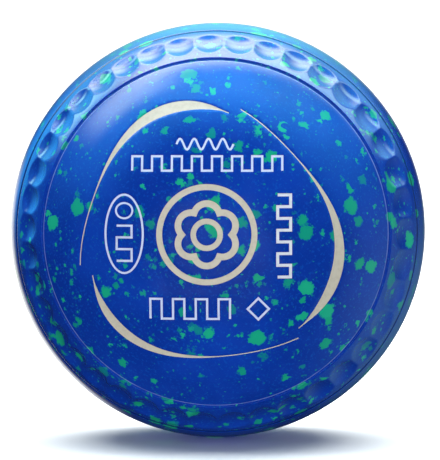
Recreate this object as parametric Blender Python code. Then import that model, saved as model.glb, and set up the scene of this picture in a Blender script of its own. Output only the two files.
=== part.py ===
"""Lawn bowl, size 3: a dark core, two speckled half skins and engraved marks filled with paint.

Frame: metres, +Z up. The bowl stands on its running surface, as in play. Its axis of turning
is the Y axis, the bias side faces -Y, the outer side faces +Y, and the origin is the centre of
its bounding box. An engraved mark is drawn in millimetres on the face it lies on, with u to the
reader's right and v up, and is laid on the dome along the surface's own normals.
"""
import math

import bmesh
import bpy
from mathutils import Vector

MM = 0.001

# ---- Body -------------------------------------------------------------------------------
RUNNING_RADIUS = 61.1 * MM        # size 3: 4 13/16 in across the crown
WIDTH = 107.0 * MM                # from flat to flat along Y
CROWN_OFFSET = 0.8 * MM           # the crown lies towards the outer side, which gives the bias
FLAT_RADIUS = 7.0 * MM            # small flat in the middle of each end
SKIN = 9.0 * MM                   # thickness of the speckled skin
GAP = 0.3 * MM                    # room between any two pieces
TURN_STEPS = 40                   # facets round the axis
CORE_STEPS = 24

# ---- Turned details, as radii from the axis -----------------------------------------------
SCRIBED_RADIUS = 58.0 * MM
SCRIBED_WIDTH = 0.6 * MM
SCRIBED_DEPTH = 0.3 * MM
GROOVE_RADIUS = 49.4 * MM
GROOVE_WIDTH = 1.0 * MM
GROOVE_DEPTH = 0.6 * MM
PLAIN_RADII = [60.8, 60.0, 59.0, 56.6, 53.9, 50.8, 46.5, 42.0, 36.5, 30.0, 22.5, 15.0]

# ---- Dimples ------------------------------------------------------------------------------
DIMPLE_COUNT = 40
DIMPLE_RADIUS = 53.8 * MM         # radius of the ring that their middles stand on
DIMPLE_HALF_HEIGHT = 4.2 * MM     # half their length over the shoulder
DIMPLE_DEPTH = 1.0 * MM
DIMPLE_FILL = 0.5                 # corner radius as a part of the room that each one has
DIMPLE_PHASE = 8.07               # degrees from +u to the first one
DIMPLE_SWING = 3.07               # degrees that the progressive spacing moves them by
DIMPLE_LEAD = 9.98                # degrees between +u and the widest spacing's side
DIMPLE_SIDES = 8
SCOOP_RISE = 1.2 * MM             # the scoops' collars start this far above the surface

# ---- Engraving ------------------------------------------------------------------------------
RECESS_DEPTH = 1.1 * MM
PAINT_TOP = 0.1 * MM              # the paint stands this far below the surface
PAINT_BOTTOM = RECESS_DEPTH - GAP
CUTTER_RISE = 1.0 * MM            # the cutters start this far above the surface
BIAS_SHIFT = (-2.1 * MM, 0.25 * MM)   # the engraving isn't dead centre on either end
OUTER_SHIFT = (0.9 * MM, -0.4 * MM)
CRESCENT_MIDDLE = 17.0               # degrees, half way between a crescent's head and its tail
CRESCENT_REACH = 57.5                # degrees from there to either end
THINNEST = 0.22                      # mm, half of the thinnest tail

# ---- Colours (linear) -----------------------------------------------------------------------
BLUE = (0.010, 0.050, 0.52)
DARK = (0.012, 0.012, 0.016)
CREAM = (0.58, 0.57, 0.47)
LILAC = (0.62, 0.65, 0.83)
WHITE = (0.78, 0.79, 0.80)


class Side:
    """One end of the bowl: its direction along Y and how far its dome rises from the crown."""

    def __init__(self, name, facing):
        self.name = name
        self.facing = facing
        flat_factor = math.sqrt(1.0 - (FLAT_RADIUS / RUNNING_RADIUS) ** 2)
        self.rise = (WIDTH / 2 - facing * CROWN_OFFSET) / flat_factor

    def height(self, radius, inset=0.0):
        """Height of the dome over the crown's plane, for a dome inset by so much all over."""
        span = RUNNING_RADIUS - inset
        flat = FLAT_RADIUS * span / RUNNING_RADIUS
        radius = min(max(radius, flat), span)
        return (self.rise - inset) * math.sqrt(1.0 - (radius / span) ** 2)

    def profile_point(self, radius, depth=0.0):
        """(radius, height) of a point at this depth under the surface, along the normal."""
        height = self.height(radius)
        if radius <= FLAT_RADIUS:
            return radius, height - depth
        normal = Vector((radius / RUNNING_RADIUS ** 2, height / self.rise ** 2)).normalized()
        return radius - normal.x * depth, height - normal.y * depth

    def place(self, radius, height, angle):
        """World point for a turned (radius, height) at this angle, as the reader sees it."""
        across = -self.facing * radius * math.cos(angle)
        return Vector((across, CROWN_OFFSET + self.facing * height, radius * math.sin(angle)))

    def on_dome(self, u, v, depth):
        """World point of a mark's point (u, v), at this depth under the surface."""
        return self.place(*self.profile_point(math.hypot(u, v), depth), math.atan2(v, u))


BIAS_SIDE = Side("bias", -1)
OUTER_SIDE = Side("outer", 1)


# ---- Scene helpers --------------------------------------------------------------------------
def clear_scene():
    for thing in list(bpy.data.objects):
        bpy.data.objects.remove(thing, do_unlink=True)


def paint(name, colour, roughness, coat=0.0):
    """A Principled material."""
    material = bpy.data.materials.new(name)
    material.use_nodes = True
    shader = material.node_tree.nodes["Principled BSDF"]
    shader.inputs["Base Color"].default_value = (*colour, 1.0)
    shader.inputs["Roughness"].default_value = roughness
    shader.inputs["Metallic"].default_value = 0.0
    shader.inputs["Coat Weight"].default_value = coat
    material.diffuse_color = (*colour, 1.0)
    return material


def add_object(name, shape, material=None, smooth_angle=math.radians(30)):
    """Turn a bmesh into a named object with its faces pointing out."""
    bmesh.ops.recalc_face_normals(shape, faces=shape.faces)
    mesh = bpy.data.meshes.new(name)
    shape.to_mesh(mesh)
    shape.free()
    thing = bpy.data.objects.new(name, mesh)
    bpy.context.scene.collection.objects.link(thing)
    if material:
        mesh.materials.append(material)
        mesh.shade_smooth()
        mesh.set_sharp_from_angle(angle=smooth_angle)
    return thing


def add_cutter(name, shape, target):
    """Make a bmesh into a hidden cutter and cut the target with it."""
    cutter = add_object(name, shape)
    cutter.hide_render = True
    cutter.display_type = "WIRE"
    cut = target.modifiers.new(name, "BOOLEAN")
    cut.operation = "DIFFERENCE"
    cut.solver = "EXACT"
    cut.object = cutter


def turn(profile, side, steps):
    """Revolve an open (radius, height) profile that starts and ends on the axis."""
    shape = bmesh.new()
    rings = []
    for radius, height in profile:
        if radius == 0:
            rings.append([shape.verts.new(side.place(0, height, 0))] * steps)
            continue
        angles = [math.tau * step / steps for step in range(steps)]
        rings.append([shape.verts.new(side.place(radius, height, angle)) for angle in angles])
    for near, far in zip(rings, rings[1:]):
        for step in range(steps):
            after = (step + 1) % steps
            corners = dict.fromkeys((near[step], near[after], far[after], far[step]))
            shape.faces.new(corners)
    return shape


# ---- Body -------------------------------------------------------------------------------------
def outer_profile(side):
    """(radius, height) points of the skin's outer surface, from its edge to the pole."""
    half_scribe = SCRIBED_WIDTH / 2
    half_groove = GROOVE_WIDTH / 2
    cuts = [
        (SCRIBED_RADIUS + half_scribe, 0.0),
        (SCRIBED_RADIUS, SCRIBED_DEPTH),
        (SCRIBED_RADIUS - half_scribe, 0.0),
        (GROOVE_RADIUS + half_groove, 0.0),
        (GROOVE_RADIUS + half_groove / 2, GROOVE_DEPTH),
        (GROOVE_RADIUS - half_groove / 2, GROOVE_DEPTH),
        (GROOVE_RADIUS - half_groove, 0.0),
    ]
    points = [(radius * MM, 0.0) for radius in PLAIN_RADII] + cuts + [(FLAT_RADIUS, 0.0)]
    points.sort(reverse=True)
    profile = [(RUNNING_RADIUS, GAP / 2)]
    profile += [side.profile_point(radius, depth) for radius, depth in points]
    profile.append((0, side.height(0)))
    return profile


def inner_profile(side, inset, rings):
    """(radius, height) points of a smooth inner dome, from the pole to its edge."""
    span = RUNNING_RADIUS - inset
    flat = math.asin(FLAT_RADIUS / RUNNING_RADIUS)
    profile = [(0, side.height(0, inset))]
    for ring in range(rings):
        angle = flat + (math.pi / 2 - flat) * ring / rings
        radius = span * math.sin(angle)
        profile.append((radius, side.height(radius, inset)))
    return profile


def build_skin(side, material):
    """Half of the speckled skin: a cup whose rim stands at the crown."""
    rim = (RUNNING_RADIUS - SKIN, GAP / 2)
    profile = outer_profile(side)[::-1] + [rim] + inner_profile(side, SKIN, 6)[::-1]
    skin = add_object(f"{side.name}_side_shell", turn(profile, side, TURN_STEPS), material)
    add_cutter(f"{side.name}_dimple_cutters", dimple_cutters(side), skin)
    return skin


def build_core(material):
    """The dense ball inside the two skins."""
    inset = SKIN + GAP
    front = [BIAS_SIDE.place(radius, height, 0) for radius, height in inner_profile(BIAS_SIDE, inset, 6)]
    back = [OUTER_SIDE.place(radius, height, 0) for radius, height in inner_profile(OUTER_SIDE, inset, 6)]
    crown = Vector((RUNNING_RADIUS - inset, CROWN_OFFSET, 0))
    profile = [(abs(point.x), CROWN_OFFSET - point.y) for point in front + [crown] + back[::-1]]
    return add_object("core", turn(profile, BIAS_SIDE, CORE_STEPS), material)


# ---- Dimples ----------------------------------------------------------------------------------
def dimple_angle(index):
    """Angle of a dimple round the axis. The spacing widens towards +u and narrows towards -u."""
    even = math.tau * index / DIMPLE_COUNT + math.radians(DIMPLE_PHASE)
    return even + math.radians(DIMPLE_SWING) * math.sin(even + math.radians(DIMPLE_LEAD))


def dimple_cutters(side):
    """One round-cornered scoop for each dimple, in one mesh."""
    shape = bmesh.new()
    radius, height = side.profile_point(DIMPLE_RADIUS)
    under = side.profile_point(DIMPLE_RADIUS, DIMPLE_DEPTH)
    for index in range(DIMPLE_COUNT):
        angle = dimple_angle(index)
        room = (dimple_angle(index + 1) - dimple_angle(index - 1)) / 2 * DIMPLE_RADIUS
        middle = side.place(radius, height, angle)
        out = (middle - side.place(*under, angle)).normalized()
        across = out.cross(Vector((0, 1, 0))).normalized()
        along = out.cross(across)
        add_scoop(shape, middle, across * room * DIMPLE_FILL, along * DIMPLE_HALF_HEIGHT, out)
    return shape


def add_scoop(shape, middle, across, along, out):
    """A punch with a rounded bottom and a straight collar, whose rim lies on the surface."""
    bottom = shape.verts.new(middle - out * DIMPLE_DEPTH)
    rings = []
    for part, lift in ((0.6, -0.64 * DIMPLE_DEPTH), (1.0, 0.0), (1.03, SCOOP_RISE)):
        ring = []
        for step in range(DIMPLE_SIDES):
            angle = math.tau * (step + 0.5) / DIMPLE_SIDES
            rim = across * math.cos(angle) + along * math.sin(angle)
            ring.append(shape.verts.new(middle + rim * part + out * lift))
        rings.append(ring)
    for step in range(DIMPLE_SIDES):
        after = (step + 1) % DIMPLE_SIDES
        shape.faces.new((bottom, rings[0][step], rings[0][after]))
        for near, far in zip(rings, rings[1:]):
            shape.faces.new((near[step], near[after], far[after], far[step]))
    shape.faces.new(rings[-1])


# ---- Marks: centre lines in millimetres, as points with half widths ---------------------------
def circle(middle, radius_u, radius_v, half_width, steps):
    u, v = middle
    angles = [math.tau * step / steps for step in range(steps)]
    return [(u + radius_u * math.cos(a), v + radius_v * math.sin(a), half_width) for a in angles]


def sexfoil(scale):
    """A plain six-lobed outline: six arcs that meet at shallow cusps."""
    lobe_middle, lobe_radius, half_width, steps = 5.0 * scale, 3.6 * scale, 0.9 * scale, 4
    points = []
    for lobe in range(6):
        turned = math.tau * lobe / 6 + math.pi / 2
        sweep = cusp_angle(lobe_middle, lobe_radius)
        for step in range(steps):
            angle = turned - sweep + 2 * sweep * step / steps
            u = lobe_middle * math.cos(turned) + lobe_radius * math.cos(angle)
            v = lobe_middle * math.sin(turned) + lobe_radius * math.sin(angle)
            points.append((u, v, half_width))
    return points


def cusp_angle(lobe_middle, lobe_radius):
    """Half the sweep of a lobe's arc, up to where it meets the next lobe."""
    half_apart = lobe_middle * math.sin(math.pi / 6)
    cusp = lobe_middle * math.cos(math.pi / 6) + math.sqrt(lobe_radius ** 2 - half_apart ** 2)
    return math.atan2(cusp * math.sin(math.pi / 6), cusp * math.cos(math.pi / 6) - lobe_middle)


def crescent(turned, head, tail, thickness, radius, swing, drift, spread):
    """A tapered arc, thick near its head and thin along its tail, on a wavy spiral.

    The angles are in degrees and the rest in millimetres: the radius swings gently three times
    a turn, drifts outwards from head to tail and spreads outwards at both ends.
    """
    steps = 16
    points = []
    for step in range(steps + 1):
        along = step / steps
        degrees = head + (tail - head) * along
        offset = (degrees - CRESCENT_MIDDLE) / CRESCENT_REACH
        wave = swing * math.cos(math.radians(3 * (degrees + 15)))
        reach = radius + wave + drift * offset + spread * offset * offset
        half_width = max(THINNEST, thickness * math.sin(math.pi * along ** 0.49) ** 3.4)
        angle = math.radians(degrees + turned)
        points.append((reach * math.cos(angle), reach * math.sin(angle), half_width))
    return points


def battlement(start, end, height, waves, half_width, upright=False):
    """A square wave between two points of a row, or of a column if upright."""
    points = []
    for post in range(2 * waves):
        place = start + (end - start) * post / (2 * waves - 1)
        rise = height / 2 if post % 2 == 0 else -height / 2
        points += [(place, -rise, half_width), (place, rise, half_width)]
    return [(v, u, w) for u, v, w in points] if upright else points


def shifted(points, du, dv):
    return [(u + du, v + dv, width) for u, v, width in points]


def ripple(length, height, waves, half_width):
    """A smooth wave in a row, centred on the origin."""
    steps = 4 * waves
    return [(length * (step / steps - 0.5), height / 2 * math.sin(math.pi / 2 * step), half_width)
            for step in range(steps + 1)]


def lozenge(middle, half_u, half_v, half_width):
    u, v = middle
    corners = ((half_u, 0), (0, half_v), (-half_u, 0), (0, -half_v))
    return [(u + du, v + dv, half_width) for du, dv in corners]


# ---- Marks: from a centre line to a solid ------------------------------------------------------
def edges_of(line, closed, grow):
    """Left and right edges of a line, mitred at its corners and grown by so much all round."""
    count = len(line)
    left, right = [], []
    for index, (u, v, half_width) in enumerate(line):
        here = Vector((u, v))
        before = Vector(line[index - 1][:2]) if closed or index else None
        after = Vector(line[(index + 1) % count][:2]) if closed or index < count - 1 else None
        into = (here - before).normalized() if before is not None else None
        onward = (after - here).normalized() if after is not None else None
        first, last = into or onward, onward or into
        bisector = (first + last).normalized()
        across = Vector((-bisector.y, bisector.x))
        reach = (half_width + grow) / max(0.4, across.dot(Vector((-first.y, first.x))))
        if into is None:
            here = here - onward * grow
        if onward is None:
            here = here + into * grow
        left.append(here + across * reach)
        right.append(here - across * reach)
    return left, right


def add_ribbon(shape, side, line, closed, grow, top, bottom, shift):
    """Sweep a rectangle along a line on the dome, between two depths under the surface."""
    left, right = edges_of(line, closed, grow)
    rows = []
    for edge, depth in ((left, top), (right, top), (right, bottom), (left, bottom)):
        row = []
        for point in edge:
            row.append(shape.verts.new(
                side.on_dome(point.x * MM + shift[0], point.y * MM + shift[1], depth)))
        rows.append(row)
    count = len(line)
    for index in range(count if closed else count - 1):
        after = (index + 1) % count
        for near, far in zip(rows, rows[1:] + rows[:1]):
            shape.faces.new((near[index], near[after], far[after], far[index]))
    if not closed:
        shape.faces.new([row[0] for row in rows])
        shape.faces.new([row[-1] for row in rows])


def engrave(side, skin, marks, shift):
    """Cut each mark's recess in the skin and lay its paint in it."""
    cutters = bmesh.new()
    for name, line, closed, material in marks:
        add_ribbon(cutters, side, line, closed, GAP / MM, -CUTTER_RISE, RECESS_DEPTH, shift)
        fill = bmesh.new()
        add_ribbon(fill, side, line, closed, 0.0, PAINT_TOP, PAINT_BOTTOM, shift)
        add_object(f"{side.name}_{name}", fill, material)
    add_cutter(f"{side.name}_recess_cutters", cutters, skin)


def shared_marks(ring_radius, scale, row_height, size_height, cream, lilac):
    """The marks that both ends carry: emblem, crescents, upper row and size marks."""
    return [
        ("emblem_ring", circle((0, 0), ring_radius, ring_radius, 0.82, 24), True, cream),
        ("emblem_flower", sexfoil(scale), True, cream),
        ("emblem_centre", circle((0, 0), 3.7 * scale, 3.7 * scale, 0.75 * scale, 12), True, cream),
        ("crescent_right", crescent(0, -46, 75, 1.5, 34.7, 2.25, -0.3, 1.5), False, cream),
        ("crescent_upper", crescent(120, -40, 74, 1.5, 35.0, 2.4, 1.7, 0.3), False, cream),
        ("crescent_lower", crescent(240, -40, 71, 1.2, 35.2, 2.1, 2.9, 1.4), False, cream),
        ("upper_row", shifted(battlement(-20.9, 20.9, 3.8, 8, 0.3), 0, row_height), False, lilac),
        ("size_row", shifted(battlement(-15.8, 6.4, 5.4, 4, 0.3), 0, size_height), False, lilac),
        ("size_mark", lozenge((14.3, size_height), 2.9, 2.9, 0.3), True, lilac),
    ]


def bias_side_marks(cream, lilac, white):
    """The end with the smaller emblem ring, which also carries the stamp and the column."""
    marks = shared_marks(13.18, 1.0, 19.8, -20.8, cream, lilac)
    marks += [
        ("fine_line", shifted(ripple(16.0, 2.4, 4, 0.28), -0.6, 25.2), False, lilac),
        ("stamp_frame", circle((-23.2, 0.1), 5.2, 10.9, 0.28, 20), True, lilac),
        ("stamp_ring", circle((-23.2, 6.6), 2.2, 2.2, 0.26, 10), True, lilac),
        ("stamp_line", shifted(battlement(-7.4, 2.4, 4.0, 2, 0.3, True), -23.2, 0), False, lilac),
        ("number_column", shifted(battlement(-11.8, 11.0, 3.4, 4, 0.4, True), 21.5, 0), False, white),
    ]
    return marks


def outer_side_marks(cream, lilac):
    """The end with the larger emblem ring."""
    return shared_marks(16.2, 1.22, 21.4, -22.6, cream, lilac)


def main():
    clear_scene()
    skin_blue = paint("speckled_skin", BLUE, 0.12, coat=0.6)
    core_dark = paint("core_phenolic", DARK, 0.45)
    cream = paint("cream_paint", CREAM, 0.45)
    lilac = paint("lilac_paint", LILAC, 0.4)
    white = paint("white_paint", WHITE, 0.4)
    build_core(core_dark)
    bias_skin = build_skin(BIAS_SIDE, skin_blue)
    outer_skin = build_skin(OUTER_SIDE, skin_blue)
    engrave(BIAS_SIDE, bias_skin, bias_side_marks(cream, lilac, white), BIAS_SHIFT)
    engrave(OUTER_SIDE, outer_skin, outer_side_marks(cream, lilac), OUTER_SHIFT)


main()
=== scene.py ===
import math

import bmesh
import bpy
import numpy as np
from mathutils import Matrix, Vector, noise
from mathutils.geometry import delaunay_2d_cdt


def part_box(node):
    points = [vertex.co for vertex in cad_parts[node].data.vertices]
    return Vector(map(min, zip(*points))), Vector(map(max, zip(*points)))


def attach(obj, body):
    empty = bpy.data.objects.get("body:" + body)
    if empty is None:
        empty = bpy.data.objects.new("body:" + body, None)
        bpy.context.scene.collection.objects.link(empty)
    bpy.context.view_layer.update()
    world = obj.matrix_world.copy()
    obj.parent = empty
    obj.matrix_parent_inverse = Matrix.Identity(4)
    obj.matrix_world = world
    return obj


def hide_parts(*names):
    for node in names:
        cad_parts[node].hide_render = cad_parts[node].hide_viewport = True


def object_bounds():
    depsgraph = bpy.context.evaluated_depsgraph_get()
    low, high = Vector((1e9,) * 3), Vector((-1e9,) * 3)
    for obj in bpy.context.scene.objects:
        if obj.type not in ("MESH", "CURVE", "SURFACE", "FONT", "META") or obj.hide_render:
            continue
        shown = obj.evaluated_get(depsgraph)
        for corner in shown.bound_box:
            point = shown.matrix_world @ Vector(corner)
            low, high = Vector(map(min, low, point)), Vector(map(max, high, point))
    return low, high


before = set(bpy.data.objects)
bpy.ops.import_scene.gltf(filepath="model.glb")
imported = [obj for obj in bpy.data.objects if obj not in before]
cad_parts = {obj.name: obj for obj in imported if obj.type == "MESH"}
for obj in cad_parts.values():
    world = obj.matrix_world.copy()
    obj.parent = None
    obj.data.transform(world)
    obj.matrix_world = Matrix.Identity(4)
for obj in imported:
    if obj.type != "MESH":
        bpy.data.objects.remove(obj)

MM = 0.001

# ---- Sizes from the frame --------------------------------------------------------------------
CAD_LOW, CAD_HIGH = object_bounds()
RUNNING_RADIUS = (CAD_HIGH.x - CAD_LOW.x) / 2
WIDTH = CAD_HIGH.y - CAD_LOW.y
CROWN_Y = (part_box("bias_side_shell")[1].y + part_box("outer_side_shell")[0].y) / 2
CORE_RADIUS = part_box("core")[1].x
GAP = 0.3 * MM
SKIN = RUNNING_RADIUS - CORE_RADIUS - GAP

# ---- Turned details --------------------------------------------------------------------------
FLAT_RADIUS = 7.0 * MM
FLAT_BLEND = 0.03 * MM            # how softly the dome runs into the flat
DISC_RADIUS = 47.6 * MM           # inside this the surface is triangulated round the engraving
COLUMNS = 800                     # facets round the axis
SCRIBED_RADIUS = 58.0 * MM
SCRIBED_HALF_WIDTH = 0.27 * MM
SCRIBED_DEPTH = 0.42 * MM
GROOVE_RADIUS = 49.4 * MM
GROOVE_HALF_WIDTH = 0.52 * MM
GROOVE_DEPTH = 0.62 * MM
SCRIBED_ROWS = 12                 # turned rows across the scribed line,
GROOVE_ROWS = 30                  # and across the groove
PLAIN_STEP = 1.0                  # degrees of slope between turned rows: on the plain surface,
NEAR_STEP = 0.6                   # near the details,
FINE_ROW_STEP = 0.34              # and across the dimples
INNER_SLOPES = (90, 84, 76, 66, 55, 44, 33, 22, 11)     # degrees, rows of the skin's inside

# ---- Dimples ---------------------------------------------------------------------------------
DIMPLE_COUNT = 40
DIMPLE_RADIUS = 54.7 * MM
DIMPLE_OUTER_REACH = 4.6 * MM     # along the shoulder, away from the axis
DIMPLE_INNER_REACH = 6.4 * MM     # and towards it
DIMPLE_DEPTH = 1.12 * MM
DIMPLE_WIDTH_PART = 0.55          # half width as a part of the room: neighbours just run together
DIMPLE_ROUNDING = 0.05 * MM       # how much the polishing has rounded their edges,
DIMPLE_INNER_ROUNDING = 0.14 * MM     # and the edge towards the axis
DIMPLE_SPAN = (57.3 * MM, 50.4 * MM)    # the radii between which the turned rows are closest
DIMPLE_PHASE = 8.07               # degrees that the ring is turned by,
DIMPLE_SWING = 3.07               # by which the spacing wanders,
DIMPLE_LEAD = 9.98                # and by which the widest spacing lies below +u

# ---- Engraving -------------------------------------------------------------------------------
RECESS_DEPTH = 0.42 * MM
LIP_WIDTH = 0.09 * MM             # the chamfer that the polishing leaves round a recess
LIP_DROP = 0.05 * MM
WALL_ROOM = 0.015 * MM            # between paint and wall
PAINT_EDGE = 0.05 * MM            # the paint's edge stands this far below the surface
PAINT_SAG = 0.05 * MM             # and its middle this much lower
FULL_SAG_WIDTH = 0.5 * MM         # half width from which it sags by the whole of that
PAINT_ROWS = (0.84, 0.45)         # rows of points across a stroke, as parts of its half width
PAINT_RIPPLE = 0.012 * MM
RIPPLES_PER_METRE = 900
DISC_PITCH = 1.1 * MM             # spacing of the disc's own points,
RIM_ROOM = 0.6 * DISC_PITCH       # the least room that they keep to its rim,
MARK_ROOM = 3.2 * LIP_WIDTH       # and to a mark
FINE_STEP = 0.45 * MM             # longest step along a mark
SKIN_SHARP = 50                   # degrees: a mesh edge that turns by more is shaded sharp
PAINT_SHARP = 40
MITRE_LIMIT = 0.4                 # a corner reaches out to at most 1 / this times the half width
KNOT_PART = 0.03                  # an edge point too far in by this part of that is in a knot

# ---- Marks -----------------------------------------------------------------------------------
STROKE = 0.3 * MM                 # half width of the rows' lines
THIN_STROKE = 0.28 * MM
STAMP_RING_STROKE = 0.26 * MM
COLUMN_STROKE = 0.4 * MM
RING_STROKE = 0.82 * MM
LOBE_MIDDLE = 5.0                 # of a sexfoil of scale 1
LOBE_RADIUS = 3.6
LOBE_STROKE = 0.9
SEXFOIL_REACH = LOBE_MIDDLE + LOBE_RADIUS + LOBE_STROKE
CENTRE_STROKE = 0.75              # half width of the ring inside it, at that scale
CRESCENT_STEPS = 150
CRESCENT_MIDDLE = 17              # degrees, where the drift is nought
CRESCENT_SPREAD = 57.5            # degrees from there to where the drift is whole
CRESCENT_LEAD = 15                # degrees that the wave leads by
CRESCENT_THINNEST = 0.12          # millimetres, half width
CRESCENTS = (
    # name, turned, (head, tail), thickness, radius, swing, drift, spread
    ("right", 0, (-46, 75), 1.5, 34.7, 2.25, -0.3, 1.5),
    ("upper", 120, (-40, 74), 1.5, 35.0, 2.4, 1.7, 0.3),
    ("lower", 240, (-40, 71), 1.2, 35.2, 2.1, 2.9, 1.4),
)


# ---- The two ends ----------------------------------------------------------------------------
class Side:
    """One end of the bowl: which way it faces along Y, and the shape of its dome."""

    def __init__(self, name, facing):
        self.name = name
        self.facing = facing
        self.flat_height = WIDTH / 2 - facing * CROWN_Y
        self.rise = self.flat_height / math.sqrt(1 - (FLAT_RADIUS / RUNNING_RADIUS) ** 2)
        u_low, u_high, v_low, v_high = self.node_span("emblem_ring")
        self.middle = ((u_low + u_high) / 2, (v_low + v_high) / 2)

    def node_span(self, mark):
        """Lowest and highest u, then v, of a mark's CAD node."""
        low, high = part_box(f"{self.name}_{mark}")
        ends = sorted((-self.facing * low.x, -self.facing * high.x))
        return ends[0], ends[1], low.z, high.z

    def height(self, radius, inset=0.0):
        """Height of the dome above the crown's plane, eased into the flat."""
        span = RUNNING_RADIUS - inset
        dome = (self.rise - inset) * np.sqrt(np.maximum(0.0, 1 - (radius / span) ** 2))
        excess = (dome - (self.flat_height - inset)) / FLAT_BLEND
        return dome - FLAT_BLEND * np.logaddexp(0.0, excess)

    def sunk(self, radius, depth):
        """(radius, height) at this depth under the surface, along the normal."""
        height = self.height(radius)
        normal_r = radius / RUNNING_RADIUS ** 2
        normal_h = height / self.rise ** 2
        length = np.hypot(normal_r, normal_h)
        return radius - depth * normal_r / length, height - depth * normal_h / length

    def place(self, radius, height, angle):
        """World points, in rows, for turned (radius, height) at these angles."""
        across = -self.facing * radius * np.cos(angle)
        along = CROWN_Y + self.facing * height + 0 * across
        return np.stack([across, along, radius * np.sin(angle)], axis=-1)

    def on_dome(self, points, depth):
        """World points of (u, v) points at this depth under the surface."""
        points = np.asarray(points, float)
        radius, height = self.sunk(np.hypot(points[:, 0], points[:, 1]), depth)
        return self.place(radius, height, np.arctan2(points[:, 1], points[:, 0]))


BIAS_SIDE = Side("bias", -1)
OUTER_SIDE = Side("outer", 1)


# ---- Turned surface --------------------------------------------------------------------------
def turned_radii():
    """Radii of the turned rows, from the crown in to the disc, closer where there is detail."""
    def by_slope(outer, inner, step_degrees):
        start, stop = (math.degrees(math.asin(r / RUNNING_RADIUS)) for r in (outer, inner))
        count = max(2, round((start - stop) / step_degrees))
        turns = np.radians(np.linspace(start, stop, count, endpoint=False))
        return RUNNING_RADIUS * np.sin(turns)

    past_edge = 1.2 * SCRIBED_HALF_WIDTH
    scribe_out, scribe_in = SCRIBED_RADIUS + past_edge, SCRIBED_RADIUS - past_edge
    groove_turns = np.linspace(0.0, math.pi, GROOVE_ROWS)
    groove_rows = GROOVE_RADIUS + 1.01 * GROOVE_HALF_WIDTH * np.cos(groove_turns)
    dimples_out, dimples_in = DIMPLE_SPAN
    parts = [
        by_slope(RUNNING_RADIUS, scribe_out, PLAIN_STEP),
        np.linspace(scribe_out, scribe_in, SCRIBED_ROWS, endpoint=False),
        by_slope(scribe_in, dimples_out, NEAR_STEP),
        by_slope(dimples_out, dimples_in, FINE_ROW_STEP),
        by_slope(dimples_in, groove_rows[0], NEAR_STEP),
        groove_rows[:-1],
        by_slope(groove_rows[-1], DISC_RADIUS, NEAR_STEP),
        np.array([DISC_RADIUS]),
    ]
    return np.concatenate(parts)


def dimple_angle(index):
    """Angle of a dimple round the axis: the spacing is widest towards +u."""
    even = math.tau * index / DIMPLE_COUNT + math.radians(DIMPLE_PHASE)
    return even + math.radians(DIMPLE_SWING) * math.sin(even + math.radians(DIMPLE_LEAD))


def dimple_depths(side, radii, angles):
    """Depth of the ring of scoops at every turned point, rounded where scoops and land meet."""
    # Lengths along the dome, from the disc out to each radius.
    fine = np.linspace(DISC_RADIUS, RUNNING_RADIUS * 0.999, 4000)
    steps = np.hypot(np.diff(fine), np.diff(side.height(fine)))
    arc = np.concatenate([[0.0], np.cumsum(steps)])
    along = np.interp(radii, fine, arc) - np.interp(DIMPLE_RADIUS, fine, arc)
    reach = np.where(along > 0, DIMPLE_OUTER_REACH, DIMPLE_INNER_REACH)
    even_room = math.tau / DIMPLE_COUNT
    depth = np.full((len(radii), len(angles)), -1.0)
    for index in range(DIMPLE_COUNT):
        middle = dimple_angle(index)
        room = (dimple_angle(index + 1) - dimple_angle(index - 1)) / 2
        off = (angles - middle + math.pi) % math.tau - math.pi
        across = off / (room * DIMPLE_WIDTH_PART)
        up = along / (reach * room / even_room)
        depth = np.maximum(depth, 1 - across[None, :] ** 2 - up[:, None] ** 2)
    depth *= DIMPLE_DEPTH
    inward = np.clip(-along / DIMPLE_INNER_REACH, 0.0, 1.0)[:, None]
    rounding = DIMPLE_ROUNDING + (DIMPLE_INNER_ROUNDING - DIMPLE_ROUNDING) * inward * inward
    return rounding * np.logaddexp(0.0, depth / rounding)


def line_depths(radii):
    """Depth of the scribed line and of the groove."""
    scribed = np.clip(1 - np.abs(radii - SCRIBED_RADIUS) / SCRIBED_HALF_WIDTH, 0, 1)
    groove = np.clip(1 - ((radii - GROOVE_RADIUS) / GROOVE_HALF_WIDTH) ** 4, 0, 1)
    return SCRIBED_DEPTH * scribed + GROOVE_DEPTH * np.sqrt(groove)


# ---- Marks: centre lines as (u, v, half width) -----------------------------------------------
def circle(span, half_width, steps):
    """An ellipse that fills a box."""
    u_low, u_high, v_low, v_high = span
    radius_u = (u_high - u_low) / 2 - half_width
    radius_v = (v_high - v_low) / 2 - half_width
    angles = np.arange(steps) * math.tau / steps
    u = (u_low + u_high) / 2 + radius_u * np.cos(angles)
    v = (v_low + v_high) / 2 + radius_v * np.sin(angles)
    return [(a, b, half_width) for a, b in zip(u, v)]


def sexfoil(middle, scale):
    """A plain six-lobed outline: six arcs that meet at shallow cusps."""
    lobe_middle, lobe_radius = LOBE_MIDDLE * scale, LOBE_RADIUS * scale
    half_width, steps = LOBE_STROKE * scale, 16
    half_apart = lobe_middle * math.sin(math.pi / 6)
    cusp = lobe_middle * math.cos(math.pi / 6) + math.sqrt(lobe_radius ** 2 - half_apart ** 2)
    sweep = math.atan2(cusp * math.sin(math.pi / 6), cusp * math.cos(math.pi / 6) - lobe_middle)
    points = []
    for lobe in range(6):
        turned = math.tau * lobe / 6 + math.pi / 2
        for step in range(steps):
            angle = turned - sweep + 2 * sweep * step / steps
            u = lobe_middle * math.cos(turned) + lobe_radius * math.cos(angle)
            v = lobe_middle * math.sin(turned) + lobe_radius * math.sin(angle)
            points.append((middle[0] + u, middle[1] + v, half_width))
    return points


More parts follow.
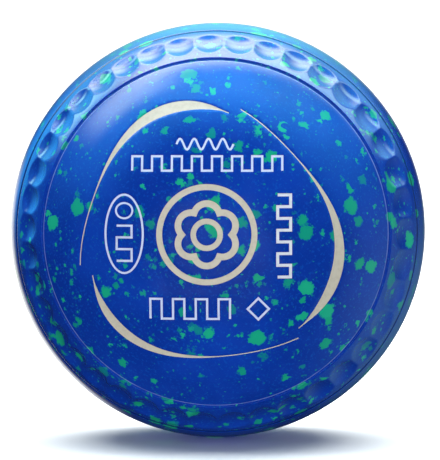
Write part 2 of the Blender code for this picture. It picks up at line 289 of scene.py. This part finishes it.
def crescent(middle, turned, ends, thickness, radius, swing, drift, spread):
    """A tapered arc, thick near its head and thin along its tail, on a wavy spiral.

    The angles are in degrees and the rest in millimetres: the radius swings gently three times
    a turn, drifts outwards from head to tail and spreads outwards at both ends.
    """
    head, tail = ends
    points = []
    for step in range(CRESCENT_STEPS + 1):
        along = step / CRESCENT_STEPS
        degrees = head + (tail - head) * along
        offset = (degrees - CRESCENT_MIDDLE) / CRESCENT_SPREAD
        wave = swing * math.cos(math.radians(3 * (degrees + CRESCENT_LEAD)))
        reach = (radius + wave + drift * offset + spread * offset * offset) * MM
        taper = thickness * math.sin(math.pi * along ** 0.49) ** 3.4
        half_width = max(CRESCENT_THINNEST, taper) * MM
        angle = math.radians(degrees + turned)
        points.append((middle[0] + reach * math.cos(angle),
                       middle[1] + reach * math.sin(angle), half_width))
    return points


def battlement(span, waves, half_width, upright=False):
    """A square wave that fills a box, along its length."""
    u_low, u_high, v_low, v_high = span
    if upright:
        u_low, u_high, v_low, v_high = v_low, v_high, u_low, u_high
    start, end = u_low + half_width, u_high - half_width
    bottom, top = v_low + half_width, v_high - half_width
    points = []
    for post in range(2 * waves):
        place = start + (end - start) * post / (2 * waves - 1)
        first, last = (bottom, top) if post % 2 == 0 else (top, bottom)
        points += [(place, first, half_width), (place, last, half_width)]
    return [(v, u, w) for u, v, w in points] if upright else points


def ripple(span, waves, half_width):
    """A smooth wave that fills a box."""
    u_low, u_high, v_low, v_high = span
    steps = 24 * waves
    rise = (v_high - v_low) / 2 - half_width
    return [(u_low + half_width + (u_high - u_low - 2 * half_width) * step / steps,
             (v_low + v_high) / 2 + rise * math.sin(math.tau * waves * step / steps), half_width)
            for step in range(steps + 1)]


def lozenge(span, half_width):
    """A square standing on its corner that fills a box."""
    u_low, u_high, v_low, v_high = span
    u, v = (u_low + u_high) / 2, (v_low + v_high) / 2
    half_u = (u_high - u_low) / 2 - half_width * math.sqrt(2)
    half_v = (v_high - v_low) / 2 - half_width * math.sqrt(2)
    corners = ((half_u, 0), (0, half_v), (-half_u, 0), (0, -half_v))
    return [(u + du, v + dv, half_width) for du, dv in corners]


def divided(line, closed):
    """The same line with points added, so that no step is longer than FINE_STEP."""
    points = []
    count = len(line)
    for index in range(count if closed else count - 1):
        here, after = np.array(line[index]), np.array(line[(index + 1) % count])
        parts = max(1, math.ceil(np.hypot(*(after - here)[:2]) / FINE_STEP))
        points += [tuple(here + (after - here) * part / parts) for part in range(parts)]
    return points if closed else points + [tuple(line[-1])]


def edges_of(line, closed, scale, grow):
    """Left and right edges of a line of scaled width, mitred and grown by so much all round."""
    points = np.array([point[:2] for point in line])
    old_widths = np.array([point[2] for point in line])
    widths = old_widths * scale + grow
    steps = np.roll(points, -1, axis=0) - points
    onward = steps / np.linalg.norm(steps, axis=1)[:, None]
    into = np.roll(onward, 1, axis=0)
    if not closed:
        onward[-1] = into[-1]
        into[0] = onward[0]
        points[0] -= onward[0] * (widths[0] - old_widths[0])
        points[-1] += into[-1] * (widths[-1] - old_widths[-1])
    bisector = into + onward
    bisector /= np.linalg.norm(bisector, axis=1)[:, None]
    across = np.stack([-bisector[:, 1], bisector[:, 0]], axis=1)
    straight = np.stack([-into[:, 1], into[:, 0]], axis=1)
    reach = widths / np.maximum(MITRE_LIMIT, (across * straight).sum(axis=1))
    return points + across * reach[:, None], points - across * reach[:, None]


def clearance(points, line, closed):
    """How far each point lies outside the stroke of a line, and the half width there."""
    points, line = np.asarray(points), np.asarray(line)
    start, end = line, np.roll(line, -1, axis=0)
    if not closed:
        start, end = start[:-1], end[:-1]
    step = (end - start)[:, :2]
    away = points[:, None] - start[None, :, :2]
    share = np.clip((away * step).sum(axis=2) / (step ** 2).sum(axis=1), 0, 1)
    width = start[:, 2] + share * (end - start)[:, 2]
    apart = np.linalg.norm(away - share[:, :, None] * step, axis=2) - width
    nearest = apart.argmin(axis=1)
    rows = np.arange(len(points))
    return apart[rows, nearest], width[rows, nearest]


def outlines(line, closed, scale=1.0, grow=0.0):
    """The loops that bound a mark's stroke, all anticlockwise, with no knots at its corners."""
    left, right = edges_of(line, closed, scale, grow)
    loops = []
    for loop in [left, right] if closed else [np.concatenate([left, right[::-1]])]:
        apart, width = clearance(loop, line, closed)
        loop = loop[apart > grow - (1 - scale) * width - KNOT_PART * width]
        after = np.roll(loop, -1, axis=0)
        doubled_area = (loop[:, 0] * after[:, 1] - loop[:, 1] * after[:, 0]).sum()
        loops.append(loop if doubled_area > 0 else loop[::-1])
    return loops


def marks_of(side):
    """(node, line, closed, material) for each mark of one end."""
    span = side.node_span
    flower = span("emblem_flower")
    scale = (flower[3] - flower[2]) / 2 / SEXFOIL_REACH
    marks = [
        ("emblem_ring", circle(span("emblem_ring"), RING_STROKE, 160), True, "cream"),
        ("emblem_flower", sexfoil(side.middle, scale), True, "cream"),
        ("emblem_centre", circle(span("emblem_centre"), CENTRE_STROKE * scale, 72), True, "cream"),
    ]
    for name, *measures in CRESCENTS:
        marks.append((f"crescent_{name}", crescent(side.middle, *measures), False, "cream"))
    marks += [
        ("upper_row", battlement(span("upper_row"), 8, STROKE), False, "lilac"),
        ("size_row", battlement(span("size_row"), 4, STROKE), False, "lilac"),
        ("size_mark", lozenge(span("size_mark"), STROKE), True, "lilac"),
    ]
    if side is BIAS_SIDE:
        column = battlement(span("number_column"), 4, COLUMN_STROKE, True)
        marks += [
            ("fine_line", ripple(span("fine_line"), 4, THIN_STROKE), False, "lilac"),
            ("stamp_frame", circle(span("stamp_frame"), THIN_STROKE, 120), True, "lilac"),
            ("stamp_ring", circle(span("stamp_ring"), STAMP_RING_STROKE, 48), True, "lilac"),
            ("stamp_line", battlement(span("stamp_line"), 2, STROKE, True), False, "lilac"),
            ("number_column", column, False, "white"),
        ]
    return [(name, divided(line, closed), closed, colour)
            for name, line, closed, colour in marks]


# ---- Meshes ----------------------------------------------------------------------------------
def make_piece(name, points, faces, material, sharp_degrees):
    """A closed mesh piece with its faces pointing out."""
    shape = bmesh.new()
    verts = [shape.verts.new(point) for point in points]
    for face in faces:
        shape.faces.new([verts[index] for index in face])
    bmesh.ops.recalc_face_normals(shape, faces=shape.faces)
    loose = [vert for vert in shape.verts if not vert.link_faces]
    bmesh.ops.delete(shape, geom=loose, context="VERTS")
    mesh = bpy.data.meshes.new(name)
    shape.to_mesh(mesh)
    shape.free()
    mesh.materials.append(material)
    mesh.shade_smooth()
    mesh.set_sharp_from_angle(angle=math.radians(sharp_degrees))
    piece = bpy.data.objects.new(name, mesh)
    bpy.context.scene.collection.objects.link(piece)
    return piece


def ring_faces(near, far):
    """Quads between two closed rings of vertex numbers."""
    return [(a, b, c, d) for a, b, c, d in
            zip(near, np.roll(near, -1), np.roll(far, -1), far)]


def triangulated(borders, extra_lines=(), extra_points=()):
    """Triangles that fill loops and points: (u, v) points, triangles, sources of each point,
    and for each triangle the borders that it lies within."""
    coords, edges, loops = [], [], []
    for loop in borders:
        numbers = list(range(len(coords), len(coords) + len(loop)))
        coords += list(loop)
        loops.append(numbers)
    for line, closed in extra_lines:
        numbers = list(range(len(coords), len(coords) + len(line)))
        coords += list(line)
        following = numbers[1:] + numbers[:1] if closed else numbers[1:]
        edges += list(zip(numbers, following))
    coords += list(extra_points)
    # The triangulation works in millimetres, where its tolerance is small beside the details.
    flat = [Vector((point[0] / MM, point[1] / MM)) for point in coords]
    out, _, triangles, sources, _, inside = delaunay_2d_cdt(flat, edges, loops, 0, 1e-6)
    return np.array([tuple(point) for point in out]) * MM, triangles, sources, inside


def border_of(triangles):
    """The edges that only one of the triangles has, in that triangle's direction."""
    edges = {}
    for triangle in triangles:
        for a, b in zip(triangle, list(triangle[1:]) + [triangle[0]]):
            edges.setdefault(frozenset((a, b)), []).append((a, b))
    return [found[0] for found in edges.values() if len(found) == 1]


def disc_points(marks):
    """Evenly spread (u, v) points of the disc that keep clear of every mark."""
    rows = []
    reach = DISC_RADIUS - RIM_ROOM
    for row, v in enumerate(np.arange(-reach, reach, DISC_PITCH * math.sqrt(3) / 2)):
        u = np.arange(-reach, reach, DISC_PITCH) + (row % 2) * DISC_PITCH / 2
        rows.append(np.stack([u, np.full_like(u, v)], axis=1))
    points = np.concatenate(rows)
    points = points[np.hypot(points[:, 0], points[:, 1]) < reach]
    for _, line, closed, _ in marks:
        points = points[clearance(points, line, closed)[0] > MARK_ROOM]
    return points


def disc_mesh(side, marks, rim, rim_numbers, next_number):
    """The engraved disc inside the rim: new world points, and faces by vertex number."""
    borders, walls = [rim], [False]
    for _, line, closed, _ in marks:
        for grow, is_wall in ((WALL_ROOM + LIP_WIDTH, False), (WALL_ROOM, True)):
            for loop in outlines(line, closed, 1.0, grow):
                borders.append(loop)
                walls.append(is_wall)
    flat, triangles, sources, inside = triangulated(borders, (), disc_points(marks))
    sunken, level = [], []
    for triangle, around in zip(triangles, inside):
        in_recess = sum(walls[number] for number in around) % 2 == 1
        (sunken if in_recess else level).append(triangle)
    walls_at = border_of(sunken)
    on_wall = {number for edge in walls_at for number in edge}
    top_of, floor_of, top, floor = {}, {}, [], []
    for number in sorted({number for triangle in level for number in triangle}):
        if sources[number] and min(sources[number]) < len(rim):
            top_of[number] = rim_numbers[min(sources[number])]
        else:
            top_of[number] = next_number + len(top)
            top.append(number)
    for number in sorted({number for triangle in sunken for number in triangle}):
        floor_of[number] = next_number + len(top) + len(floor)
        floor.append(number)
    faces = [[top_of[number] for number in triangle] for triangle in level]
    faces += [[floor_of[number] for number in triangle] for triangle in sunken]
    faces += [(top_of[b], top_of[a], floor_of[a], floor_of[b]) for a, b in walls_at]
    top_depth = np.array([LIP_DROP if number in on_wall else 0.0 for number in top])
    points = [side.on_dome(flat[top], top_depth), side.on_dome(flat[floor], RECESS_DEPTH)]
    return np.concatenate(points), faces


def build_skin(side, marks, material):
    """One half of the moulded skin, closed, with every turned and engraved detail."""
    angles = np.arange(COLUMNS) * math.tau / COLUMNS
    radii = turned_radii()
    depth = dimple_depths(side, radii, angles) + line_depths(radii)[:, None]
    depth[-1] = 0.0
    radius, height = side.sunk(radii[:, None], depth)
    height[0] = 0.0
    rows = [side.place(radius, height, angles[None, :])]
    for slope in INNER_SLOPES:
        inner = (CORE_RADIUS + GAP) * math.sin(math.radians(slope))
        level = float(side.height(inner, SKIN)) if slope < 90 else 0.0
        rows.append(side.place(inner, level, angles)[None])
    turned = np.concatenate(rows)
    numbers = np.arange(turned.shape[0] * COLUMNS).reshape(-1, COLUMNS)
    outer_rows, inner_rows = numbers[:len(radii)], numbers[len(radii):]
    faces = []
    for near, far in zip(outer_rows, outer_rows[1:]):
        faces += ring_faces(near, far)
    faces += ring_faces(outer_rows[0], inner_rows[0])
    for near, far in zip(inner_rows, inner_rows[1:]):
        faces += ring_faces(near, far)
    faces.append(tuple(inner_rows[-1]))
    rim = np.stack([DISC_RADIUS * np.cos(angles), DISC_RADIUS * np.sin(angles)], axis=1)
    points = turned.reshape(-1, 3)
    disc, disc_faces = disc_mesh(side, marks, rim, list(outer_rows[-1]), len(points))
    return make_piece(f"{side.name}_side_skin", np.concatenate([points, disc]),
                      faces + disc_faces, material, SKIN_SHARP)


def build_fill(side, name, line, closed, material, seed):
    """Hardened paint in a recess: a low bed with a slightly hollow, uneven top."""
    borders = outlines(line, closed)
    inner = [(loop, True) for scale in PAINT_ROWS for loop in outlines(line, closed, scale)]
    middle = np.array(line)[:, :2]
    inner.append((middle if closed else middle[2:-2], closed))
    flat, triangles, _, inside = triangulated(borders, inner)
    triangles = [triangle for triangle, around in zip(triangles, inside) if len(around) % 2 == 1]
    used = sorted({number for triangle in triangles for number in triangle})
    top_of = {number: index for index, number in enumerate(used)}
    floor_of = {number: index + len(used) for index, number in enumerate(used)}
    apart, width = clearance(flat[used], line, closed)
    share = np.clip(1 + apart / width, 0, 1)
    sag = PAINT_SAG * np.minimum(1, width / FULL_SAG_WIDTH)
    depth = PAINT_EDGE + sag * (1 - share ** 2)
    depth += [PAINT_RIPPLE * noise.noise((u * RIPPLES_PER_METRE, v * RIPPLES_PER_METRE, seed))
              for u, v in flat[used]]
    faces = [[top_of[number] for number in triangle] for triangle in triangles]
    faces += [[floor_of[number] for number in triangle[::-1]] for triangle in triangles]
    faces += [(top_of[b], top_of[a], floor_of[a], floor_of[b]) for a, b in border_of(triangles)]
    floor = np.full(len(used), RECESS_DEPTH - WALL_ROOM)
    points = np.concatenate([side.on_dome(flat[used], depth), side.on_dome(flat[used], floor)])
    return make_piece(f"{side.name}_{name}_paint", points, faces, material, PAINT_SHARP)


# ---- Materials -------------------------------------------------------------------------------
class Nodes:
    """A small helper that adds nodes to a material and links them."""

    def __init__(self, name):
        self.material = bpy.data.materials.new(name)
        self.material.use_nodes = True
        self.tree = self.material.node_tree
        self.shader = self.tree.nodes["Principled BSDF"]
        self.place = self.tree.nodes.new("ShaderNodeTexCoord").outputs["Object"]

    def set(self, socket, value):
        """Link an output to this input, or give the input a constant."""
        if isinstance(value, bpy.types.NodeSocket):
            self.tree.links.new(value, socket)
        else:
            socket.default_value = value

    def add(self, kind, settings=(), **inputs):
        """A new node with these settings, and its inputs set by name."""
        made = self.tree.nodes.new(kind)
        for key, value in dict(settings).items():
            setattr(made, key, value)
        for key, value in inputs.items():
            self.set(made.inputs[key.replace("_", " ")], value)
        return made

    def noise(self, per_metre, detail, rough):
        """A noise texture that stays with the object."""
        return self.add("ShaderNodeTexNoise", Vector=self.place, Scale=per_metre,
                        Detail=detail, Roughness=rough)

    def maths(self, operation, *values):
        """The result of one operation on outputs or constants."""
        made = self.add("ShaderNodeMath", {"operation": operation})
        for socket, value in zip(made.inputs, values):
            self.set(socket, value)
        return made.outputs[0]

    def ramp(self, value, low, high, to_low=0.0, to_high=1.0):
        """The value eased from one range to another."""
        made = self.add("ShaderNodeMapRange", {"interpolation_type": "SMOOTHSTEP"},
                        Value=value, From_Min=low, From_Max=high, To_Min=to_low, To_Max=to_high)
        return made.outputs["Result"]

    def mix(self, share, low, high):
        """A colour between two others. The node's inputs 6 and 7 are those two."""
        made = self.add("ShaderNodeMix", {"data_type": "RGBA"})
        self.set(made.inputs[0], share)
        for socket, value in ((made.inputs[6], low), (made.inputs[7], high)):
            self.set(socket, (*value, 1.0) if isinstance(value, tuple) else value)
        return made.outputs[2]

    def warped(self, per_metre, reach):
        """The place on the object, moved about by up to half this reach."""
        shake = self.noise(per_metre, 4.0, 0.7).outputs["Color"]
        off = self.add("ShaderNodeVectorMath", {"operation": "MULTIPLY_ADD"})
        self.set(off.inputs[0], shake)
        off.inputs[1].default_value = (reach,) * 3
        self.set(off.inputs[2], self.place)
        return off.outputs[0]

    def flecks(self, cell, radius, share, at, soft):
        """Spots in some of the cells of a Voronoi pattern: 1 inside a spot, 0 outside."""
        cells = self.add("ShaderNodeTexVoronoi", Vector=at, Scale=1.0 / cell, Randomness=1.0)
        parts = self.add("ShaderNodeSeparateColor", Color=cells.outputs["Color"])
        size = self.ramp(parts.outputs[1], 0.0, 1.0, 0.35 * radius / cell, radius / cell)
        near = self.maths("DIVIDE", cells.outputs["Distance"], size)
        spot = self.ramp(near, 1.0, 1.0 - soft)
        there = self.maths("LESS_THAN", parts.outputs[0], share)
        return self.maths("MULTIPLY", spot, there), parts.outputs[2]

    def ring(self, radius, half_width):
        """1 on a circle round the axis of turning, fading to 0 this far away from it."""
        parts = self.add("ShaderNodeSeparateXYZ", Vector=self.place)
        x, z = parts.outputs[0], parts.outputs[2]
        squares = self.maths("ADD", self.maths("MULTIPLY", x, x), self.maths("MULTIPLY", z, z))
        apart = self.maths("SUBTRACT", self.maths("SQRT", squares), radius)
        return self.ramp(self.maths("ABSOLUTE", apart), half_width, 0.0)

    def bump(self, height, strength, distance):
        """Fine relief on the whole surface."""
        made = self.add("ShaderNodeBump", Height=height, Strength=strength, Distance=distance)
        self.set(self.shader.inputs["Normal"], made.outputs[0])

    def finish(self, colour, roughness, **constants):
        """The material, with what its surface shader is given."""
        self.set(self.shader.inputs["Base Color"], colour)
        self.set(self.shader.inputs["Roughness"], roughness)
        for key, value in constants.items():
            self.shader.inputs[key.replace("_", " ")].default_value = value
        return self.material


def speckled_melamine():
    """Polished royal blue melamine with teal-green granules through it."""
    n = Nodes("speckled_melamine")
    deep_blue, royal_blue = (0.0019, 0.028, 0.28), (0.0032, 0.040, 0.36)
    misty_blue, lip_highlight_blue, scribed_shade_blue = (0.003, 0.075, 0.43), (0.22, 0.32, 0.75), (0.001, 0.006, 0.05)
    teal, mint, sea = (0.003, 0.255, 0.15), (0.009, 0.36, 0.215), (0.003, 0.18, 0.21)
    cloud = n.noise(38.0, 3.0, 0.55).outputs["Fac"]
    base = n.mix(n.ramp(cloud, 0.35, 0.65), deep_blue, royal_blue)
    haze = n.noise(1300.0, 2.0, 0.6).outputs["Fac"]
    base = n.mix(n.ramp(haze, 0.53, 0.70, 0.0, 0.6), base, misty_blue)
    ragged = n.warped(620.0, 3.6 * MM)
    crumbly = n.warped(1700.0, 1.4 * MM)
    crowd = n.noise(62.0, 2.0, 0.5).outputs["Fac"]
    spots = (
        # cell, radius, fewest, most, place, soft, strength, colours
        (0.9 * MM, 0.34 * MM, 0.10, 0.32, crumbly, 0.6, 0.6, sea, mint),
        (1.6 * MM, 0.60 * MM, 0.08, 0.28, crumbly, 0.45, 0.95, sea, mint),
        (2.6 * MM, 1.15 * MM, 0.08, 0.36, ragged, 0.4, 1.0, sea, mint),
        (4.2 * MM, 2.0 * MM, 0.10, 0.45, ragged, 0.32, 1.0, teal, mint),
        (6.4 * MM, 2.9 * MM, 0.10, 0.42, ragged, 0.22, 1.0, teal, mint),
    )
    colour = base
    for cell, radius, fewest, most, place, soft, strength, dull, bright in spots:
        spot, tone = n.flecks(cell, radius, n.ramp(crowd, 0.32, 0.66, fewest, most), place, soft)
        depth = n.ramp(tone, 0.0, 0.6, 0.6 * strength, strength)
        colour = n.mix(n.maths("MULTIPLY", spot, depth), colour, n.mix(tone, dull, bright))
    # Painted highlight: a paler blue ring along the groove's inner lip stands for the light that its
    # rounded edge catches, broken up by noise.
    highlight_breakup = n.noise(230.0, 4.0, 0.7).outputs["Fac"]
    lit_lip = n.ring(GROOVE_RADIUS - GROOVE_HALF_WIDTH, 0.24 * MM)
    lit_lip = n.maths("MULTIPLY", lit_lip, n.ramp(highlight_breakup, 0.3, 0.6, 0.3, 0.75))
    colour = n.mix(lit_lip, colour, lip_highlight_blue)
    # Painted shade: a near-black blue along the scribed line darkens it where shade falls in the
    # groove.
    colour = n.mix(n.ring(SCRIBED_RADIUS, SCRIBED_HALF_WIDTH), colour, scribed_shade_blue)
    scuffs = n.noise(160.0, 4.0, 0.7).outputs["Fac"]
    roughness = n.ramp(scuffs, 0.35, 0.75, 0.10, 0.20)
    peel = n.noise(520.0, 3.0, 0.5).outputs["Fac"]
    n.bump(peel, 0.05, 0.02 * MM)
    return n.finish(colour, roughness, IOR=1.5, Coat_Weight=0.4, Coat_Roughness=0.05)


def enamel(name, light, worn):
    """Hardened paint, slightly chalky, with duller worn patches spread at random."""
    n = Nodes(name)
    patches = n.noise(700.0, 4.0, 0.65).outputs["Fac"]
    colour = n.mix(n.ramp(patches, 0.42, 0.72, 0.0, 0.8), light, worn)
    grain = n.noise(2600.0, 3.0, 0.6).outputs["Fac"]
    n.bump(grain, 0.25, 0.05 * MM)
    return n.finish(colour, n.ramp(patches, 0.3, 0.7, 0.38, 0.55), IOR=1.48)


def phenolic():
    """The dark pressed core, with a fine grain of filler."""
    n = Nodes("dark_phenolic")
    grain = n.noise(900.0, 5.0, 0.7).outputs["Fac"]
    colour = n.mix(n.ramp(grain, 0.4, 0.65), (0.010, 0.010, 0.013), (0.035, 0.034, 0.036))
    n.bump(grain, 0.3, 0.05 * MM)
    return n.finish(colour, n.ramp(grain, 0.3, 0.7, 0.45, 0.65), IOR=1.5)


def studio_paint(name, shade):
    """Matt paper for the floor and the backdrop."""
    n = Nodes(name)
    fibre = n.noise(60.0, 4.0, 0.6).outputs["Fac"]
    darker = tuple(part * 0.985 for part in shade)
    return n.finish(n.mix(fibre, darker, shade), n.ramp(fibre, 0.2, 0.8, 0.85, 0.95))


# ---- Studio ----------------------------------------------------------------------------------
# A direction is (tilt, turn) in degrees: how far it tilts away from -Y, the bias side's facing, and
# how far it is turned from +X up towards +Z. A surface mirrors what lies at twice its own tilt.
WHITE = (1.0, 1.0, 1.0)
PALE_AIR = 0.95                   # how bright the air looks behind the set,
AMBIENT = 0.25                    # how much it lights matt surfaces,
DIM_AIR = 0.03                    # and how much of it there is everywhere, in the polish too,
DIM_TINT = (0.35, 0.55, 1.0)      # where it has this colour
LAMPS = (
    # name, tilt, turn, distance and size in metres, power in watts, colour
    ("key_softbox", 93, 90, 1.3, (2.2, 0.8), 33.0, (0.92, 1.0, 1.0)),
    ("front_fill", 12, 262, 1.6, (1.6, 1.4), 26.0, WHITE),
    ("back_fill", 168, 262, 1.6, (1.6, 1.4), 16.0, WHITE),
    ("backdrop_lamp", 118, 90, 1.6, (2.4, 0.8), 55.0, WHITE),
)
REFLECTIONS = (
    # name, distance, tilts, turns, strength, colour, and how much of its width each border fades in
    ("softbox", 1.80, (91, 139), (50, 133), 4.6, (0.88, 1.05, 0.70), 0.34),
    ("tube", 1.81, (90, 117), (70, 136), 2.4, (1.0, 0.80, 0.20), 0.40),
    ("lamp", 1.82, (79, 106), (97, 151), 3.6, (0.88, 1.0, 0.80), 0.4),
    ("strip", 1.83, (97, 120), (20, 88), 4.2, (0.60, 1.0, 0.82), 0.42),
    ("corner", 1.835, (102, 122), (116, 160), 5.5, (0.47, 1.0, 0.93), 0.45),
    ("ceiling", 1.84, (110, 180), (25, 155), 2.1, (0.24, 0.84, 0.72), 0.5),
    ("left", 1.86, (106, 150), (110, 166), 1.1, (0.14, 0.84, 0.98), 0.45),
    ("right", 1.86, (106, 150), (12, 68), 1.2, (0.34, 0.88, 0.98), 0.45),
    ("sky", 1.88, (42, 120), (-5, 185), 5.2, (0.06, 0.54, 1.0), 0.5),
    ("haze", 1.90, (104, 168), (126, 194), 1.7, (0.04, 0.45, 1.0), 0.5),
    ("window", 1.92, (60, 125), (-50, 25), 0.2, (0.6, 0.85, 1.0), 0.35),
    ("panel", 1.94, (56, 184), (-70, 16), 0.5, (0.26, 0.62, 1.0), 0.42),
    ("wall", 1.96, (146, 190), (160, 246), 1.3, (1.0, 1.0, 0.95), 0.25),
    ("backdrop", 2.00, (158, 190), (-70, 250), 0.35, WHITE, 0.35),
)


def build_sweep():
    """A pale floor that curves up into a backdrop. It is neither mirrored nor lights the bowl."""
    front, depth, rise, half_width = -2.4, 1.6, 2.2, 2.4
    bend, bend_steps = 0.5, 24
    floor_z = CAD_LOW.z
    profile = [(front, floor_z)]
    for step in range(bend_steps + 1):
        turn = math.pi / 2 * step / bend_steps
        y = depth - bend + bend * math.sin(turn)
        profile.append((y, floor_z + bend - bend * math.cos(turn)))
    profile.append((depth, rise))
    points, faces = [], []
    for y, z in profile:
        points += [(-half_width, y, z), (half_width, y, z)]
    for row in range(len(profile) - 1):
        faces.append((2 * row, 2 * row + 1, 2 * row + 3, 2 * row + 2))
    mesh = bpy.data.meshes.new("paper_sweep")
    mesh.from_pydata(points, [], faces)
    mesh.materials.append(studio_paint("studio_paper", (0.88, 0.88, 0.89)))
    mesh.shade_smooth()
    sweep = bpy.data.objects.new("paper_sweep", mesh)
    sweep.visible_glossy = False
    sweep.visible_diffuse = False
    sweep.visible_shadow = False
    bpy.context.scene.collection.objects.link(sweep)


def toward(tilt, turn):
    """The unit vector of a direction."""
    tilt, turn = math.radians(tilt), math.radians(turn)
    away = math.sin(tilt)
    return Vector((away * math.cos(turn), -math.cos(tilt), away * math.sin(turn)))


def soft_lamp(name, tilt, turn, distance, size, power, colour):
    """A soft panel that lights the bowl and isn't mirrored in it."""
    data = bpy.data.lights.new(name, "AREA")
    data.shape = "RECTANGLE"
    data.size, data.size_y = size
    data.energy = power
    data.color = colour
    lamp = bpy.data.objects.new(name, data)
    lamp.location = toward(tilt, turn) * distance
    lamp.rotation_euler = (-lamp.location).to_track_quat("-Z", "Y").to_euler()
    lamp.visible_glossy = False
    lamp.visible_camera = False
    bpy.context.scene.collection.objects.link(lamp)


def faded_glow(name, strength, colour):
    """A clear material that glows as strongly as the mesh's fade attribute says."""
    glow = bpy.data.materials.new(name)
    glow.use_nodes = True
    nodes, links = glow.node_tree.nodes, glow.node_tree.links
    nodes.clear()
    emission = nodes.new("ShaderNodeEmission")
    emission.inputs["Color"].default_value = (*colour, 1.0)
    share = nodes.new("ShaderNodeAttribute")
    share.attribute_name = "fade"
    power = nodes.new("ShaderNodeMath")
    power.operation = "MULTIPLY"
    power.inputs[1].default_value = strength
    links.new(share.outputs["Fac"], power.inputs[0])
    links.new(power.outputs[0], emission.inputs["Strength"])
    clear = nodes.new("ShaderNodeAddShader")
    links.new(emission.outputs[0], clear.inputs[0])
    links.new(nodes.new("ShaderNodeBsdfTransparent").outputs[0], clear.inputs[1])
    links.new(clear.outputs[0], nodes.new("ShaderNodeOutputMaterial").inputs["Surface"])
    return glow


def reflection(name, distance, tilts, turns, strength, colour, soft):
    """A glowing patch of a big sphere, seen only mirrored in the polish, with soft borders."""
    steps = 32
    points, fades = [], []

    def fade(share):
        rise = min(1.0, min(share, 1 - share) / soft)
        return rise * rise * (3 - 2 * rise)

    for row in range(steps + 1):
        for column in range(steps + 1):
            tilt = tilts[0] + (tilts[1] - tilts[0]) * row / steps
            turn = turns[0] + (turns[1] - turns[0]) * column / steps
            points.append(toward(tilt, turn) * distance)
            fades.append(fade(row / steps) * fade(column / steps))
    faces = []
    for row in range(steps):
        for column in range(steps):
            corner = row * (steps + 1) + column
            faces.append((corner, corner + 1, corner + steps + 2, corner + steps + 1))
    mesh = bpy.data.meshes.new(name)
    mesh.from_pydata(points, [], faces)
    mesh.attributes.new("fade", "FLOAT", "POINT").data.foreach_set("value", fades)
    mesh.materials.append(faded_glow(name, strength, colour))
    patch = bpy.data.objects.new(name, mesh)
    patch.visible_camera = False
    patch.visible_diffuse = False
    patch.visible_shadow = False
    bpy.context.scene.collection.objects.link(patch)


def build_air():
    """Pale round the set, a soft ambient light on matt surfaces, and nearly dark in the polish."""
    world = bpy.data.worlds.new("studio_air")
    world.use_nodes = True
    nodes, links = world.node_tree.nodes, world.node_tree.links
    path = nodes.new("ShaderNodeLightPath")
    background = nodes["Background"]
    tint = nodes.new("ShaderNodeMix")
    tint.data_type = "RGBA"
    share, untinted, tinted = tint.inputs[0], tint.inputs[6], tint.inputs[7]
    untinted.default_value = (*WHITE, 1.0)
    tinted.default_value = (*DIM_TINT, 1.0)
    links.new(path.outputs["Is Glossy Ray"], share)
    links.new(tint.outputs[2], background.inputs["Color"])
    steps = []
    for ray, extra in (("Is Camera Ray", PALE_AIR), ("Is Diffuse Ray", AMBIENT)):
        step = nodes.new("ShaderNodeMath")
        step.operation = "MULTIPLY_ADD"
        links.new(path.outputs[ray], step.inputs[0])
        step.inputs[1].default_value = extra
        steps.append(step)
    behind, matt = steps
    behind.inputs[2].default_value = DIM_AIR
    links.new(behind.outputs[0], matt.inputs[2])
    links.new(matt.outputs[0], background.inputs["Strength"])
    bpy.context.scene.world = world


def build_studio():
    """The paper, the lamps, what the polish mirrors, and the air."""
    build_sweep()
    for lamp in LAMPS:
        soft_lamp(*lamp)
    for name, *measures in REFLECTIONS:
        reflection(f"mirrored_{name}", *measures)
    build_air()


def build_camera():
    """A long lens, nearly square on to the bias side, a little above the bowl's middle."""
    distance, azimuth, elevation = 0.8, math.radians(1.0), math.radians(1.7)
    data = bpy.data.cameras.new("camera")
    data.lens = 212.0
    data.sensor_width = 36.0
    data.shift_x = 0.005
    data.clip_start = 0.01
    camera = bpy.data.objects.new("camera", data)
    level = math.cos(elevation)
    back = Vector((math.sin(azimuth) * level, -math.cos(azimuth) * level, math.sin(elevation)))
    camera.location = back * distance
    camera.rotation_euler = (-back).to_track_quat("-Z", "Y").to_euler()
    bpy.context.scene.collection.objects.link(camera)
    bpy.context.scene.camera = camera


# ---- Assembly --------------------------------------------------------------------------------
def adopt(piece, node):
    """The piece stands for a CAD node: it joins the root body, and the node's own mesh is hidden."""
    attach(piece, "root")
    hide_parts(node)


def main():
    bpy.context.scene.view_settings.view_transform = "Standard"
    build_camera()
    skin = speckled_melamine()
    paints = {
        "cream": enamel("cream_enamel", (0.50, 0.48, 0.40), (0.43, 0.41, 0.335)),
        "lilac": enamel("lilac_enamel", (0.50, 0.58, 0.82), (0.42, 0.49, 0.70)),
        "white": enamel("white_enamel", (0.60, 0.65, 0.74), (0.50, 0.55, 0.64)),
    }
    for side in (BIAS_SIDE, OUTER_SIDE):
        marks = marks_of(side)
        adopt(build_skin(side, marks, skin), f"{side.name}_side_shell")
        for seed, (name, line, closed, colour) in enumerate(marks):
            piece = build_fill(side, name, line, closed, paints[colour], seed)
            adopt(piece, f"{side.name}_{name}")
    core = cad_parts["core"]
    core.data.materials.clear()
    core.data.materials.append(phenolic())
    build_studio()


main()
